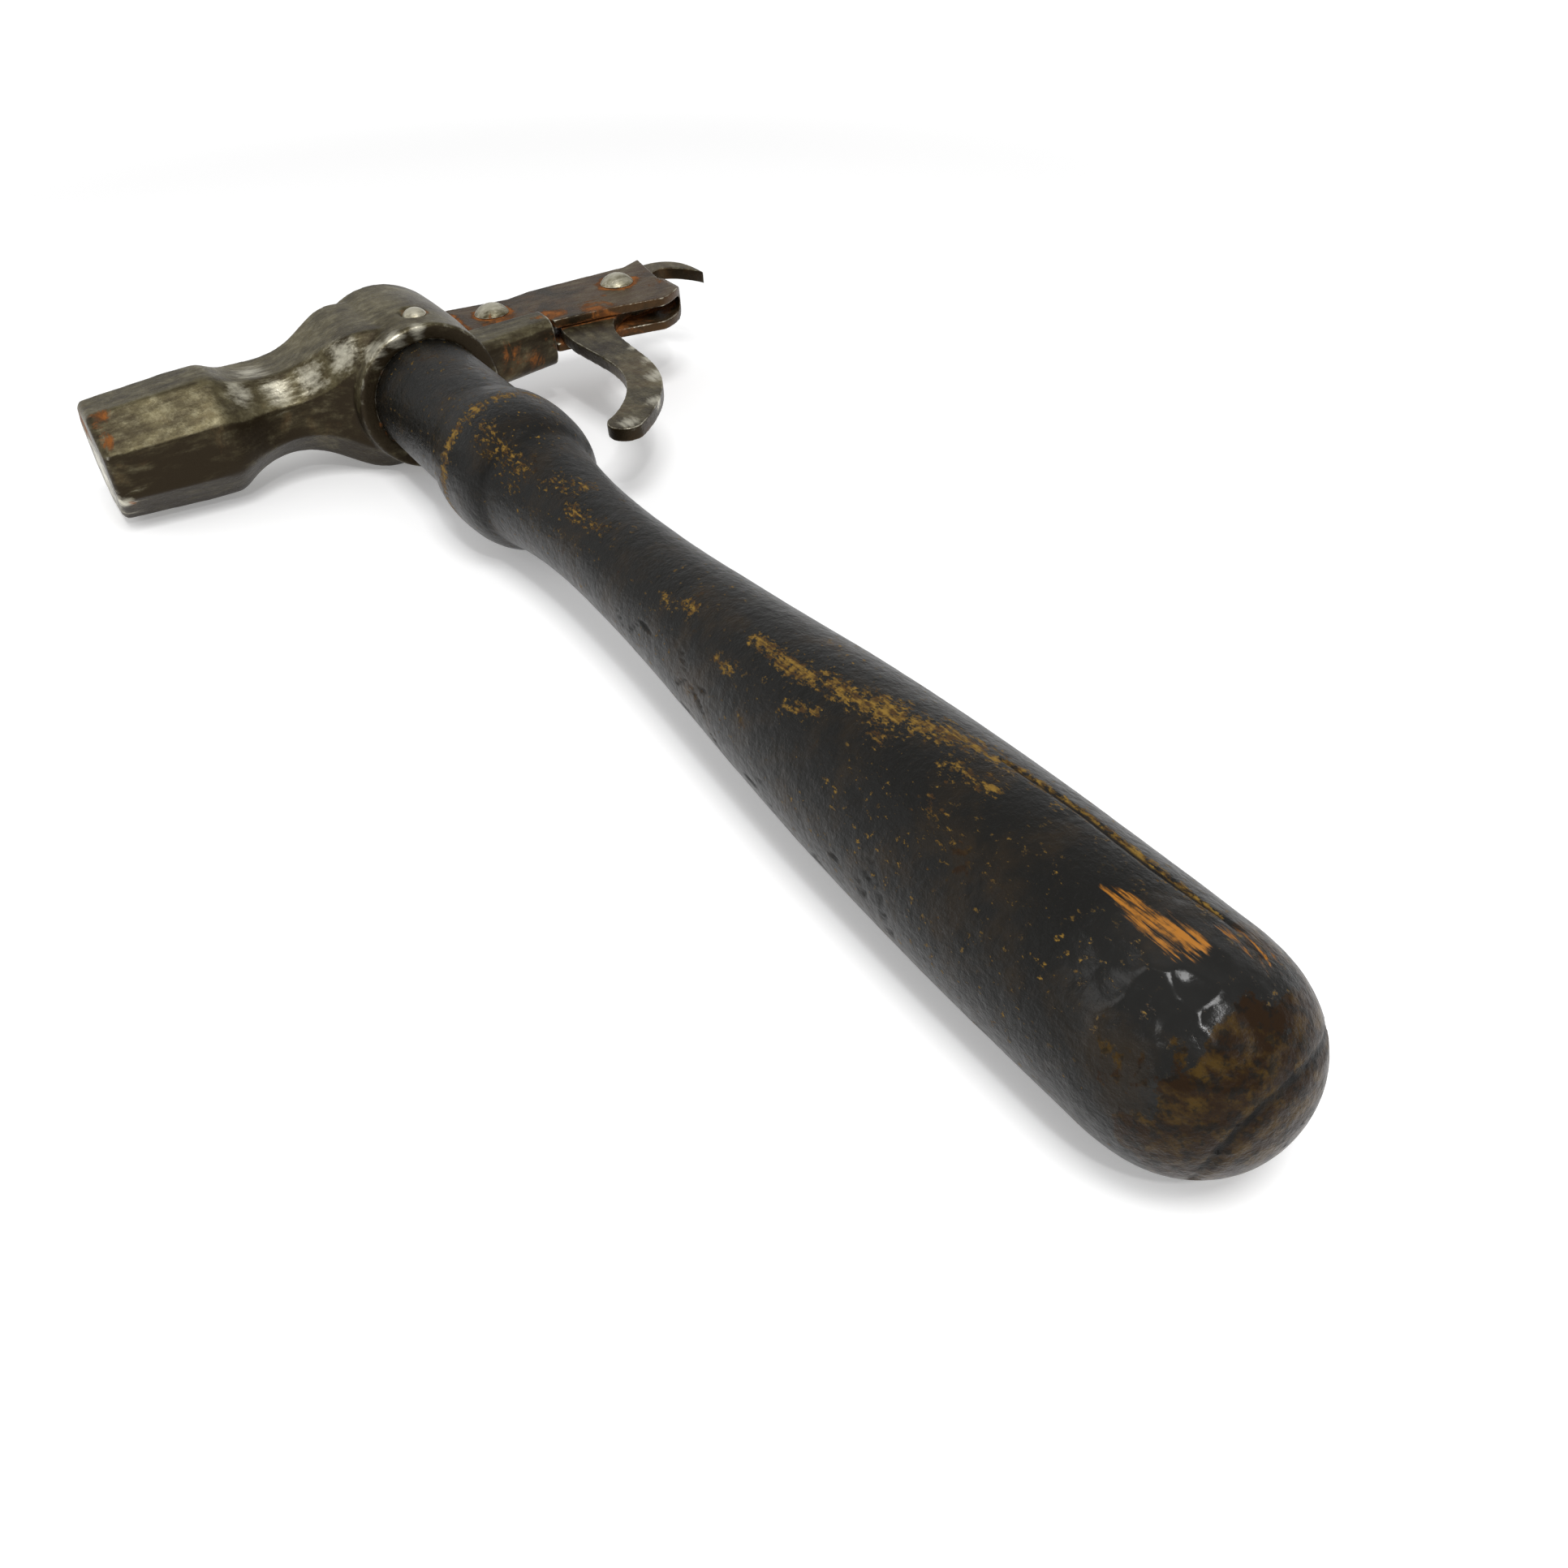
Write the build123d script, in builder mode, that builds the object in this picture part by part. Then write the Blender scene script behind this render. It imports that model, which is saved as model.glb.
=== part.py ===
"""Tack hammer with a hand-worked tack puller, lying on its side.

The origin is the centre of the striking face.  +X runs along the head, from the striking face to
the puller.  +Y runs along the handle, from the butt to the head.  +Z points up from the table.
"""
from build123d import *
import os
from math import radians, sqrt, tan

# ---- Driving dimensions, in millimetres ------------------------------------------------------

# Head
eye_x = 62.0                 # striking face to the handle's axis
face_flats = 21.2            # across flats of the octagon at the striking face
shoulder_flats = 24.0        # across flats where the octagonal poll ends
poll_length = 23.5           # striking face to that shoulder
face_chamfer = 0.9           # worn edge round the striking face
neck_depth = 16.4            # thinnest part of the neck, along Z
neck_width = 22.4            # the same place, along Y
neck_reach = 28.5            # the handle's axis back to that place
neck_rise = 3.4              # how far the neck's middle sits beyond the poll's middle, along Y
cheek_depth = 29.6           # across the flat cheeks, along Z
cheek_width = 29.0           # along Y

# Eye
eye_radius = 15.2            # outside of the barrel round the handle
rim_radius = 14.7            # the lip that faces the grip
rim_y = -14.8                # where the lip ends
eye_top_y = 14.2             # the other end of the barrel
bore_radius = 11.4           # eye's bore at the lip
bore_top_radius = 10.4       # the same at the top

# Tang, the flat tongue that carries the puller
tang_root_x = 9.0            # buried in the barrel
tang_half_height = 5.1       # half the thickness of its lip, along Z
tang_lip_y = -5.8            # near face of the lip at its outer end
tang_lip_root_y = -9.5       # the same at the barrel
tang_length = 31.9           # the handle's axis to the tang's end
tang_far_y = 16.4            # far edge of the tongue
shoulder_x = 17.0            # where the strap starts
seam_y = 1.5                 # where the strap's edge meets the lip

# Puller
plate_thickness = 2.0        # the strap
lever_thickness = 2.7
lever_clearance = 0.2        # on each face of the lever
fold_x = 62.7                # middle of the fold, from the handle's axis
fold_far_y = 5.5             # the fold reaches no further than this
strap_far_y = 17.7           # far edge of both plates
strap_corner_x = 65.5        # the pointed far corner
strap_corner_y = 20.0
strap_near_y = -2.2          # near edge where it leaves the tang
strap_near_end_y = -6.4      # near edge at the fold

# Rivets and pin
tang_rivet_x = 24.8
tang_rivet_y = 11.2
pivot_x = 54.4
pivot_y = 9.0
rivet_radius = 2.2
rivet_head_radius = 3.9
rivet_head_height = 2.2
pin_x = 2.2
pin_y = -7.5
pin_radius = 1.5
pin_head_radius = 2.5
pin_head_height = 1.5
pin_seat_z = 14.2            # spot face on each cheek

# Handle
handle_length = 235.0        # butt to the head's middle
grip_radius = 13.5
waist_radius = 8.4
neck_radius = 11.4           # just outside the head, where it shoulders against the lip
bead_radius = 13.2
bead_y = -57.5               # fattest part of the bead
bead_back_length = 9.2       # from there to the groove
bead_front_length = 13.6     # from there to the neck
groove_radius = 10.5         # where the waist meets the bead
tenon_proud = 0.6            # the tenon's end beyond the eye

# Wedge
wedge_width = 16.0
wedge_depth = 9.5
wedge_thickness = 3.0
wedge_tip_thickness = 0.9

# Clearances
fit_clearance = 0.05         # running and seated fits, on the radius
seat_clearance = 0.05        # wedge in its kerf, on each face

# ---- Values worked out from those above ------------------------------------------------------

gap = lever_thickness + 2 * lever_clearance
strap_half = gap / 2 + plate_thickness
fold_outer = strap_half
fold_inner = gap / 2
fold_end_x = fold_x + fold_outer
octagon_share = tan(radians(22.5))
tenon_end_y = eye_top_y + tenon_proud
through = 40.0               # longer than anything that is cut through

os.makedirs("parts", exist_ok=True)


def octagon(half_y, half_z, flat_y, flat_z, middle_y):
    """Corners of an eight-sided section of the head, in the YZ plane."""
    quarter = [(half_y, flat_z), (flat_y, half_z)]
    corners = quarter + [(-y, z) for y, z in reversed(quarter)]
    corners += [(-y, -z) for y, z in quarter]
    corners += [(y, -z) for y, z in reversed(quarter)]
    return [(y + middle_y, z) for y, z in corners]


def regular(flats):
    """The same section where all eight sides are equal."""
    half = flats / 2
    flat = half * octagon_share
    return octagon(half, half, flat, flat, 0.0)


# ---- Head: poll, neck, barrel and tang in one forging ----------------------------------------

with BuildPart() as head:
    # Poll: a straight octagonal taper.
    with BuildSketch(Plane.YZ):
        Polygon(*regular(face_flats), align=None)
    with BuildSketch(Plane.YZ.offset(poll_length)):
        Polygon(*regular(shoulder_flats), align=None)
    loft(ruled=True)
    face_edges = head.faces().sort_by(Axis.X)[0].edges()
    chamfer(face_edges, length=face_chamfer)

    # Neck: the eight facets run on, thin down and flare out to the cheeks.
    shoulder_flat = shoulder_flats / 2 * octagon_share
    neck_sections = [
        (poll_length, shoulder_flats, shoulder_flats, shoulder_flat, shoulder_flat, 0.0),
        (eye_x - neck_reach - 5.5, neck_width + 0.4, neck_depth + 2.2, 5.4, 3.8, neck_rise / 2),
        (eye_x - neck_reach, neck_width, neck_depth, 5.8, 3.4, neck_rise),
        (eye_x - 21.0, neck_width + 0.8, neck_depth + 2.4, 6.4, 3.8, neck_rise - 0.4),
        (eye_x - 15.5, cheek_width - 3.4, cheek_depth - 5.2, 8.4, 6.4, neck_rise - 1.4),
        (eye_x - 9.0, cheek_width - 1.2, cheek_depth - 1.2, 9.8, 9.6, neck_rise / 4),
        (eye_x, cheek_width, cheek_depth, 12.4, 12.2, 0.0),
    ]
    for x, width, depth, flat_y, flat_z, middle_y in neck_sections:
        with BuildSketch(Plane.YZ.offset(x)):
            Polygon(*octagon(width / 2, depth / 2, flat_y, flat_z, middle_y), align=None)
    loft()

    # Barrel round the handle, with a rolled lip towards the grip.
    with BuildSketch(Plane.XY):
        with BuildLine(Plane.XY):
            lip = Polyline(
                (eye_x, rim_y),
                (eye_x + rim_radius - 0.8, rim_y),
            )
            lip_round = JernArc(lip @ 1, (1, 0), 0.8, 90)
            Spline(
                lip_round @ 1,
                (eye_x + eye_radius - 0.1, rim_y + 8.0),
                (eye_x + eye_radius, eye_top_y - 1.2),
                tangents=((0, 1), (0, 1)),
            )
            Polyline(
                (eye_x + eye_radius, eye_top_y - 1.2),
                (eye_x + eye_radius - 1.2, eye_top_y),
                (eye_x, eye_top_y),
                (eye_x, rim_y),
            )
        make_face()
    revolve(axis=Axis((eye_x, 0, 0), (0, 1, 0)))

    # Tang: a thick lip towards the grip, and a thin tongue for the strap to straddle.
    with BuildSketch(Plane.XY.offset(-tang_half_height)):
        Polygon(
            (eye_x + tang_root_x, tang_lip_root_y),
            (eye_x + shoulder_x - 3.0, tang_lip_root_y),
            (eye_x + tang_length, tang_lip_y),
            (eye_x + tang_length, seam_y),
            (eye_x + tang_root_x, seam_y),
            align=None,
        )
    extrude(amount=2 * tang_half_height)
    rounded = [
        edge
        for edge in head.edges().filter_by(GeomType.LINE)
        if abs(abs(edge.center().Z) - tang_half_height) < 0.01
        and edge.center().Y < seam_y - 2.0
        and edge.center().X > eye_x + shoulder_x
        and edge.length > 10.0
    ]
    fillet(rounded, radius=2.6)
    with BuildSketch(Plane.XY.offset(-strap_half)):
        with Locations((eye_x + (tang_root_x + shoulder_x) / 2, (seam_y + tang_far_y) / 2)):
            Rectangle(shoulder_x - tang_root_x, tang_far_y - seam_y)
    extrude(amount=2 * strap_half)
    with BuildSketch(Plane.XY.offset(-gap / 2)):
        with Locations((eye_x + (tang_root_x + tang_length) / 2, (seam_y + tang_far_y) / 2)):
            Rectangle(tang_length - tang_root_x, tang_far_y - seam_y)
    extrude(amount=gap)

    # Eye: a tapered bore for the tenon.
    with BuildSketch(Plane.XY):
        Polygon(
            (eye_x, rim_y - 1.0),
            (eye_x + bore_radius, rim_y - 1.0),
            (eye_x + bore_radius, rim_y),
            (eye_x + bore_top_radius, eye_top_y),
            (eye_x + bore_top_radius, eye_top_y + 1.0),
            (eye_x, eye_top_y + 1.0),
            align=None,
        )
    revolve(axis=Axis((eye_x, 0, 0), (0, 1, 0)), mode=Mode.SUBTRACT)

    # Holes for the cheek pin and the tang rivet, and a spot face on each cheek.
    with Locations((eye_x + pin_x, pin_y, 0)):
        Cylinder(pin_radius + fit_clearance, through, mode=Mode.SUBTRACT)
    for side in (-1, 1):
        with Locations((eye_x + pin_x, pin_y, side * (pin_seat_z + 5.0))):
            Cylinder(pin_head_radius + 0.3, 10.0, mode=Mode.SUBTRACT)
    with Locations((eye_x + tang_rivet_x, tang_rivet_y, 0)):
        Cylinder(rivet_radius + fit_clearance, through, mode=Mode.SUBTRACT)
head.part.label = "head"

# ---- Handle: one turning ---------------------------------------------------------------------

with BuildPart() as handle:
    bead_back_y = bead_y - bead_back_length
    bead_front_y = bead_y + bead_front_length
    tenon_radius = bore_radius - fit_clearance
    tenon_end_radius = bore_top_radius - fit_clearance
    with BuildSketch(Plane.XY):
        with BuildLine(Plane.XY):
            butt = Spline(
                (eye_x, -handle_length),
                (eye_x + 0.72 * grip_radius, -handle_length + 4.0),
                (eye_x + grip_radius, -handle_length + 16.0),
                tangents=((1, 0), (0, 1)),
            )
            grip = Spline(
                butt @ 1,
                (eye_x + grip_radius - 0.05, -handle_length + 48.0),
                (eye_x + (grip_radius + waist_radius) / 2, -handle_length + 94.0),
                (eye_x + waist_radius, -handle_length + 138.0),
                (eye_x + groove_radius, bead_back_y),
                tangents=((0, 1), (0.18, 1)),
            )
            bead = Spline(
                grip @ 1,
                (eye_x + bead_radius, bead_y),
                (eye_x + neck_radius, bead_front_y),
                tangents=((0.85, 1), (-0.35, 1)),
            )
            Polyline(
                bead @ 1,
                (eye_x + neck_radius, rim_y - seat_clearance),
                (eye_x + tenon_radius, rim_y - seat_clearance),
                (eye_x + tenon_end_radius, eye_top_y),
                (eye_x + tenon_end_radius, tenon_end_y - 0.4),
                (eye_x + tenon_end_radius - 0.4, tenon_end_y),
                (eye_x, tenon_end_y),
                (eye_x, -handle_length),
            )
        make_face()
    revolve(axis=Axis((eye_x, 0, 0), (0, 1, 0)))
    # Kerf for the wedge, and the hole for the cheek pin.
    kerf_half = wedge_thickness / 2 + seat_clearance
    kerf_tip_half = wedge_tip_thickness / 2 + seat_clearance
    kerf_floor_y = eye_top_y - wedge_depth - 0.3
    with BuildSketch(Plane.YZ.offset(eye_x - wedge_width / 2 - 0.1)):
        Polygon(
            (kerf_floor_y, -kerf_tip_half),
            (eye_top_y, -kerf_half),
            (tenon_end_y + 1.0, -kerf_half),
            (tenon_end_y + 1.0, kerf_half),
            (eye_top_y, kerf_half),
            (kerf_floor_y, kerf_tip_half),
            align=None,
        )
    extrude(amount=wedge_width + 0.2, mode=Mode.SUBTRACT)
    with Locations((eye_x + pin_x, pin_y, 0)):
        Cylinder(pin_radius + fit_clearance, through, mode=Mode.SUBTRACT)
handle.part.label = "handle"

# ---- Wedge in the end of the tenon -----------------------------------------------------------

with BuildPart() as handle_wedge:
    with BuildSketch(Plane.YZ.offset(eye_x - wedge_width / 2)):
        Polygon(
            (eye_top_y - wedge_depth, -wedge_tip_thickness / 2),
            (eye_top_y, -wedge_thickness / 2),
            (tenon_end_y, -wedge_thickness / 2),
            (tenon_end_y, wedge_thickness / 2),
            (eye_top_y, wedge_thickness / 2),
            (eye_top_y - wedge_depth, wedge_tip_thickness / 2),
            align=None,
        )
    extrude(amount=wedge_width)
handle_wedge.part.label = "handle_wedge"


def dome_radius(base_radius, height):
    """Radius of the ball that a domed head is a cap of."""
    return (base_radius**2 + height**2) / (2 * height)


def riveted_profile(x, shank_radius, head_radius, head_height, half_grip):
    """Half section of a shank with a domed head at each end, about the line x, along Z."""
    ball = dome_radius(head_radius, head_height)
    middle_x = head_radius / 2
    middle_z = half_grip + sqrt(ball**2 - middle_x**2) - (ball - head_height)
    Line((x, -half_grip - head_height), (x, half_grip + head_height))
    ThreePointArc(
        (x, half_grip + head_height),
        (x + middle_x, middle_z),
        (x + head_radius, half_grip),
    )
    Polyline(
        (x + head_radius, half_grip),
        (x + shank_radius, half_grip),
        (x + shank_radius, -half_grip),
        (x + head_radius, -half_grip),
    )
    ThreePointArc(
        (x + head_radius, -half_grip),
        (x + middle_x, -middle_z),
        (x, -half_grip - head_height),
    )


# ---- Cheek pin: through both cheeks and the tenon, peened over at each end -------------------

with BuildPart() as cheek_pin:
    pin_at = Plane.XZ.offset(-pin_y)
    with BuildSketch(pin_at):
        with BuildLine(pin_at):
            riveted_profile(eye_x + pin_x, pin_radius, pin_head_radius, pin_head_height, pin_seat_z)
        make_face()
    revolve(axis=Axis((eye_x + pin_x, pin_y, 0), (0, 0, 1)))
cheek_pin.part.label = "cheek_pin"

# ---- Strap: one strip folded back on itself; its fold is the fixed jaw -----------------------

with BuildPart() as jaw_strap:
    # The folded strip, from the side: two plates and the half round that joins them.
    start_x = eye_x + shoulder_x
    middle_x = eye_x + fold_x
    fold_plane = Plane.XZ.offset(-fold_far_y)
    with BuildSketch(fold_plane):
        with BuildLine(fold_plane):
            Polyline((middle_x, fold_outer), (start_x, fold_outer), (start_x, fold_inner),
                     (middle_x, fold_inner))
            ThreePointArc((middle_x, fold_inner), (middle_x + fold_inner, 0), (middle_x, -fold_inner))
            Polyline((middle_x, -fold_inner), (start_x, -fold_inner), (start_x, -fold_outer),
                     (middle_x, -fold_outer))
            ThreePointArc((middle_x, -fold_outer), (middle_x + fold_outer, 0), (middle_x, fold_outer))
        make_face()
    extrude(amount=fold_far_y - strap_near_end_y)
    # Beyond the fold the two plates run on flat, open at their end.
    far_width = strap_corner_y - fold_far_y
    for side in (-1, 1):
        plate_z = side * (fold_inner + fold_outer) / 2
        with Locations((eye_x + (shoulder_x + strap_corner_x) / 2, fold_far_y + far_width / 2, plate_z)):
            Box(strap_corner_x - shoulder_x, far_width, plate_thickness)
    # The outline from above trims both plates and the fold.
    with BuildSketch(Plane.XY.offset(-strap_half)):
        with BuildLine(Plane.XY):
            Polyline(
                (start_x, seam_y),
                (eye_x + tang_length + 0.8, seam_y),
                (eye_x + tang_length + 1.6, strap_near_y),
                (eye_x + 46.0, (strap_near_y + strap_near_end_y) / 2 + 0.6),
                (eye_x + fold_x - 5.0, strap_near_end_y),
            )
            ThreePointArc(
                (eye_x + fold_x - 5.0, strap_near_end_y),
                (fold_end_x + eye_x - 2.8, strap_near_end_y + 3.6),
                (fold_end_x + eye_x, fold_far_y - 3.0),
            )
            Polyline(
                (fold_end_x + eye_x, fold_far_y - 3.0),
                (fold_end_x + eye_x, fold_far_y),
                (eye_x + fold_x + 0.4, fold_far_y),
                (eye_x + strap_corner_x, strap_corner_y),
                (eye_x + strap_corner_x - 5.0, strap_far_y),
                (eye_x + 37.0, strap_far_y + 0.8),
                (eye_x + 31.0, strap_far_y - 0.6),
                (start_x, strap_far_y + 2.6),
                (start_x, seam_y),
            )
        make_face()
    extrude(amount=2 * strap_half, mode=Mode.INTERSECT)
    for x, y in ((tang_rivet_x, tang_rivet_y), (pivot_x, pivot_y)):
        with Locations((eye_x + x, y, 0)):
            Cylinder(rivet_radius + fit_clearance, through, mode=Mode.SUBTRACT)
jaw_strap.part.label = "jaw_strap"

# ---- Rivets ----------------------------------------------------------------------------------


def rivet_plane(y):
    """The upright plane that a rivet's half section is drawn on."""
    return Plane.XZ.offset(-y)


with BuildPart() as tang_rivet:
    with BuildSketch(rivet_plane(tang_rivet_y)):
        with BuildLine(rivet_plane(tang_rivet_y)):
            riveted_profile(eye_x + tang_rivet_x, rivet_radius, rivet_head_radius, rivet_head_height,
                            strap_half)
        make_face()
    revolve(axis=Axis((eye_x + tang_rivet_x, tang_rivet_y, 0), (0, 0, 1)))
tang_rivet.part.label = "tang_rivet"

with BuildPart() as pivot_rivet:
    with BuildSketch(rivet_plane(pivot_y)):
        with BuildLine(rivet_plane(pivot_y)):
            riveted_profile(eye_x + pivot_x, rivet_radius, rivet_head_radius, rivet_head_height,
                            strap_half)
        make_face()
    revolve(axis=Axis((eye_x + pivot_x, pivot_y, 0), (0, 0, 1)))
pivot_rivet.part.label = "pivot_rivet"

# ---- Lever: trigger, pivot and beak in one flat piece ----------------------------------------

with BuildPart() as jaw_lever:
    # Its outline is drawn about the pivot.
    with BuildSketch(Plane((eye_x + pivot_x, pivot_y, -lever_thickness / 2))):
        with BuildLine():
            # Edge towards the handle, down to the trigger's tip.
            front = Spline(
                (-16.4, -4.0),
                (-20.4, -16.0),
                (-20.4, -41.0),
                (-25.4, -52.0),
                (-32.0, -58.8),
            )
            tip = ThreePointArc(front @ 1, (-33.4, -64.2), (-28.6, -65.2))
            back = Spline(
                tip @ 1,
                (-21.8, -58.8),
                (-14.6, -46.8),
                (-12.3, -32.0),
                (-10.6, -19.0),
                (-2.0, -8.6),
            )
            # Round the pivot and out along the beak's biting edge.
            throat = ThreePointArc(back @ 1, (6.2, -6.2), (8.8, 0.4))
            bite = Spline(
                throat @ 1,
                (11.4, 5.6),
                (14.8, 7.4),
                (17.6, 5.6),
                (21.3, -1.7),
            )
            # The beak's back, and home round the far side of the pivot.
            crest = Spline(
                bite @ 1,
                (21.2, 5.4),
                (18.6, 11.0),
                (13.6, 12.7),
                (7.0, 8.6),
                (-2.0, 8.2),
            )
            Spline(crest @ 1, (-10.0, 5.6), (-15.0, 0.4), front @ 0)
        make_face()
    extrude(amount=lever_thickness)
    with Locations((eye_x + pivot_x, pivot_y, 0)):
        Cylinder(rivet_radius + fit_clearance, through, mode=Mode.SUBTRACT)
jaw_lever.part.label = "jaw_lever"

# ---- Write every piece -----------------------------------------------------------------------

export_step(head.part, "parts/head.step")
export_step(handle.part, "parts/handle.step")
export_step(handle_wedge.part, "parts/handle_wedge.step")
export_step(cheek_pin.part, "parts/cheek_pin.step")
export_step(jaw_strap.part, "parts/jaw_strap.step")
export_step(tang_rivet.part, "parts/tang_rivet.step")
export_step(pivot_rivet.part, "parts/pivot_rivet.step")
export_step(jaw_lever.part, "parts/jaw_lever.step")
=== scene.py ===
# %% [markdown]
# # An old tack hammer, dressed in its wear
#
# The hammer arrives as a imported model: a forged head with an octagonal poll, a turned handle, and
# a hand-worked tack puller riveted to a tang behind the eye. Its sizes and joints are settled, so
# this lesson only gives each piece the surface of a tool that has been used for decades. The light,
# the table and the camera come first, because a finish can only be judged in its light.

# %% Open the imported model
import math

import bmesh
import bpy
import numpy as np
from mathutils import Matrix, Vector
from mathutils.bvhtree import BVHTree


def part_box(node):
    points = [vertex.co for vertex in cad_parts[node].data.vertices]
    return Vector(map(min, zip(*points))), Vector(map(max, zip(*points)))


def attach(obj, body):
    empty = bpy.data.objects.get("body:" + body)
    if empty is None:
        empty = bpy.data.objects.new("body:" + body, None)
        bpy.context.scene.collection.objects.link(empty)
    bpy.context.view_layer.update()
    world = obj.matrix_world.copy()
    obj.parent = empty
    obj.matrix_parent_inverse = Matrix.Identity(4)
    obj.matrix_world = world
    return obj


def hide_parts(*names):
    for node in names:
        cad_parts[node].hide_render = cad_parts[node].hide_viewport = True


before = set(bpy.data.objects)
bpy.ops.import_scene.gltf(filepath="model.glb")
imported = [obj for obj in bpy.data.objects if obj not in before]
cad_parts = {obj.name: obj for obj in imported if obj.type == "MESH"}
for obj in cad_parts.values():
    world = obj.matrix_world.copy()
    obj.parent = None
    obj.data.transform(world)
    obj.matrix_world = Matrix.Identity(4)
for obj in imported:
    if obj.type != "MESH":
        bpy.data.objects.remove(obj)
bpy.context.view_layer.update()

MM = 0.001
MERGE_DISTANCE = 0.001 * MM
handle_low, handle_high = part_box("handle")
eye = Vector(((handle_low.x + handle_high.x) / 2, 0.0, 0.0))
print("nodes:", sorted(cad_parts))
print("the handle's axis stands", round(eye.x / MM, 1), "mm behind the striking face")

# %% [markdown]
# ## Copies that may be reshaped
#
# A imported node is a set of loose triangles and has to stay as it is. Every finished piece therefore
# starts as a copy whose doubled corners are merged, so that neighbouring faces share their edges.


# %% A merged copy of a node
def merged_copy(node):
    """The node's mesh as a bmesh with its doubled corners merged. The caller frees it."""
    shape = bmesh.new()
    shape.from_mesh(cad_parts[node].data)
    bmesh.ops.remove_doubles(shape, verts=shape.verts, dist=MERGE_DISTANCE)
    return shape


def new_piece(name, mesh, body):
    """Put a mesh in the scene under this name, riding on this body."""
    piece = bpy.data.objects.new(name, mesh)
    bpy.context.scene.collection.objects.link(piece)
    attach(piece, body)
    return piece


# %% [markdown]
# ## How the hammer lies
#
# Nobody has to guess the table's tilt. A rigid thing rests on a facet of its convex hull, the one
# under its centre of mass. The head is steel and the handle is light wood, so each piece is
# weighed, and the hull facet straight below the centre of mass becomes the table top.

# %% Find the table under the hammer
STEEL_DENSITY, WOOD_DENSITY = 7850.0, 650.0
wooden = ("handle", "handle_wedge")
hull = bmesh.new()
total_mass, moment = 0.0, Vector()
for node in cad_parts:
    shape = merged_copy(node)
    middle = sum((v.co for v in shape.verts), Vector()) / len(shape.verts)
    mass = abs(shape.calc_volume()) * (WOOD_DENSITY if node in wooden else STEEL_DENSITY)
    total_mass += mass
    moment += middle * mass
    for v in shape.verts:
        hull.verts.new(v.co)
    shape.free()
mass_centre = moment / total_mass
bmesh.ops.convex_hull(hull, input=hull.verts)
hull_tree = BVHTree.FromBMesh(hull)
table_point, table_normal, _, _ = hull_tree.ray_cast(mass_centre, Vector((0, 0, -1)))
hull.free()
if table_normal.z < 0:
    table_normal.negate()
tilt = math.degrees(table_normal.angle((0, 0, 1)))
print("mass", round(total_mass, 3), "kg; table tilt", round(tilt, 2))

# %% [markdown]
# ## Table, light and camera
#
# The set is a product table: a white sheet, light from all round, a soft lamp high in front, a
# weaker one at the side, and a small one that only adds sparkle to what is polished. The sheet is a
# real diffuse white that takes the hammer's soft shadow. A glow of its own, only for the rays that
# look at it or mirror it, lifts the sheet to paper white. The glow is weaker near the hammer, a
# painted shade round it, and twice as strong in mirrors, a painted reflection on the hammer.


# %% Helpers for node trees
def wire(tree, kind, inputs=None, **settings):
    """Add a node. Inputs are values, or other nodes' output sockets to link."""
    made = tree.nodes.new(kind)
    for name, value in settings.items():
        setattr(made, name, value)
    for key, value in (inputs or {}).items():
        if isinstance(value, bpy.types.NodeSocket):
            tree.links.new(value, made.inputs[key])
        else:
            made.inputs[key].default_value = value
    return made


def reckon(tree, operation, *values, clamp=False):
    """A Math node's result."""
    numbered = dict(enumerate(values))
    return wire(tree, "ShaderNodeMath", numbered, operation=operation, use_clamp=clamp).outputs[0]


# %% White table
WHITE = (1, 1, 1, 1)
SHEET_HALF = 4.0
SHEET_WHITE = (0.88, 0.88, 0.88, 1)
# The sheet's own glow near the eye, kept low there as a painted shade round the hammer, and far
# from it, and how much stronger it is in a mirror, as a painted reflection.
SHEET_LIFT, FAR_LIFT, SHEET_MIRRORED = 0.25, 1.0, 2.0
FAR_FROM, FAR_TO = 0.26, 0.65

sheet_shape = bmesh.new()
bmesh.ops.create_grid(sheet_shape, x_segments=1, y_segments=1, size=SHEET_HALF)
lean = Vector((0, 0, 1)).rotation_difference(table_normal).to_matrix().to_4x4()
laid = Matrix.Translation(table_point) @ lean
bmesh.ops.transform(sheet_shape, matrix=laid, verts=sheet_shape.verts)
sheet_mesh = bpy.data.meshes.new("table_sheet")
sheet_shape.to_mesh(sheet_mesh)
sheet_shape.free()
table_sheet = bpy.data.objects.new("table_sheet", sheet_mesh)
bpy.context.scene.collection.objects.link(table_sheet)

paper = bpy.data.materials.new("white_paper")
paper.use_nodes = True
tree = paper.node_tree
tree.nodes.clear()
paths = wire(tree, "ShaderNodeLightPath")
# The glow is doubled for mirroring rays, a painted reflection, and weaker near the hammer, a painted
# shade.
mirrored = reckon(tree, "MULTIPLY", paths.outputs["Is Glossy Ray"], SHEET_MIRRORED)
looked_at = reckon(tree, "MAXIMUM", paths.outputs["Is Camera Ray"], mirrored)
looked_at = reckon(tree, "MAXIMUM", looked_at, paths.outputs["Is Transmission Ray"])
place = wire(tree, "ShaderNodeTexCoord").outputs["Object"]
from_eye = wire(tree, "ShaderNodeVectorMath", {0: place, 1: eye}, operation="DISTANCE")
own_light = wire(tree, "ShaderNodeMapRange", {
    "Value": from_eye.outputs["Value"], "From Min": FAR_FROM, "From Max": FAR_TO,
    "To Min": SHEET_LIFT, "To Max": FAR_LIFT,
}, interpolation_type="SMOOTHSTEP").outputs[0]
matt = wire(tree, "ShaderNodeBsdfDiffuse", {"Color": SHEET_WHITE})
lift = wire(tree, "ShaderNodeEmission", {
    "Color": WHITE, "Strength": reckon(tree, "MULTIPLY", looked_at, own_light),
})
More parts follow.
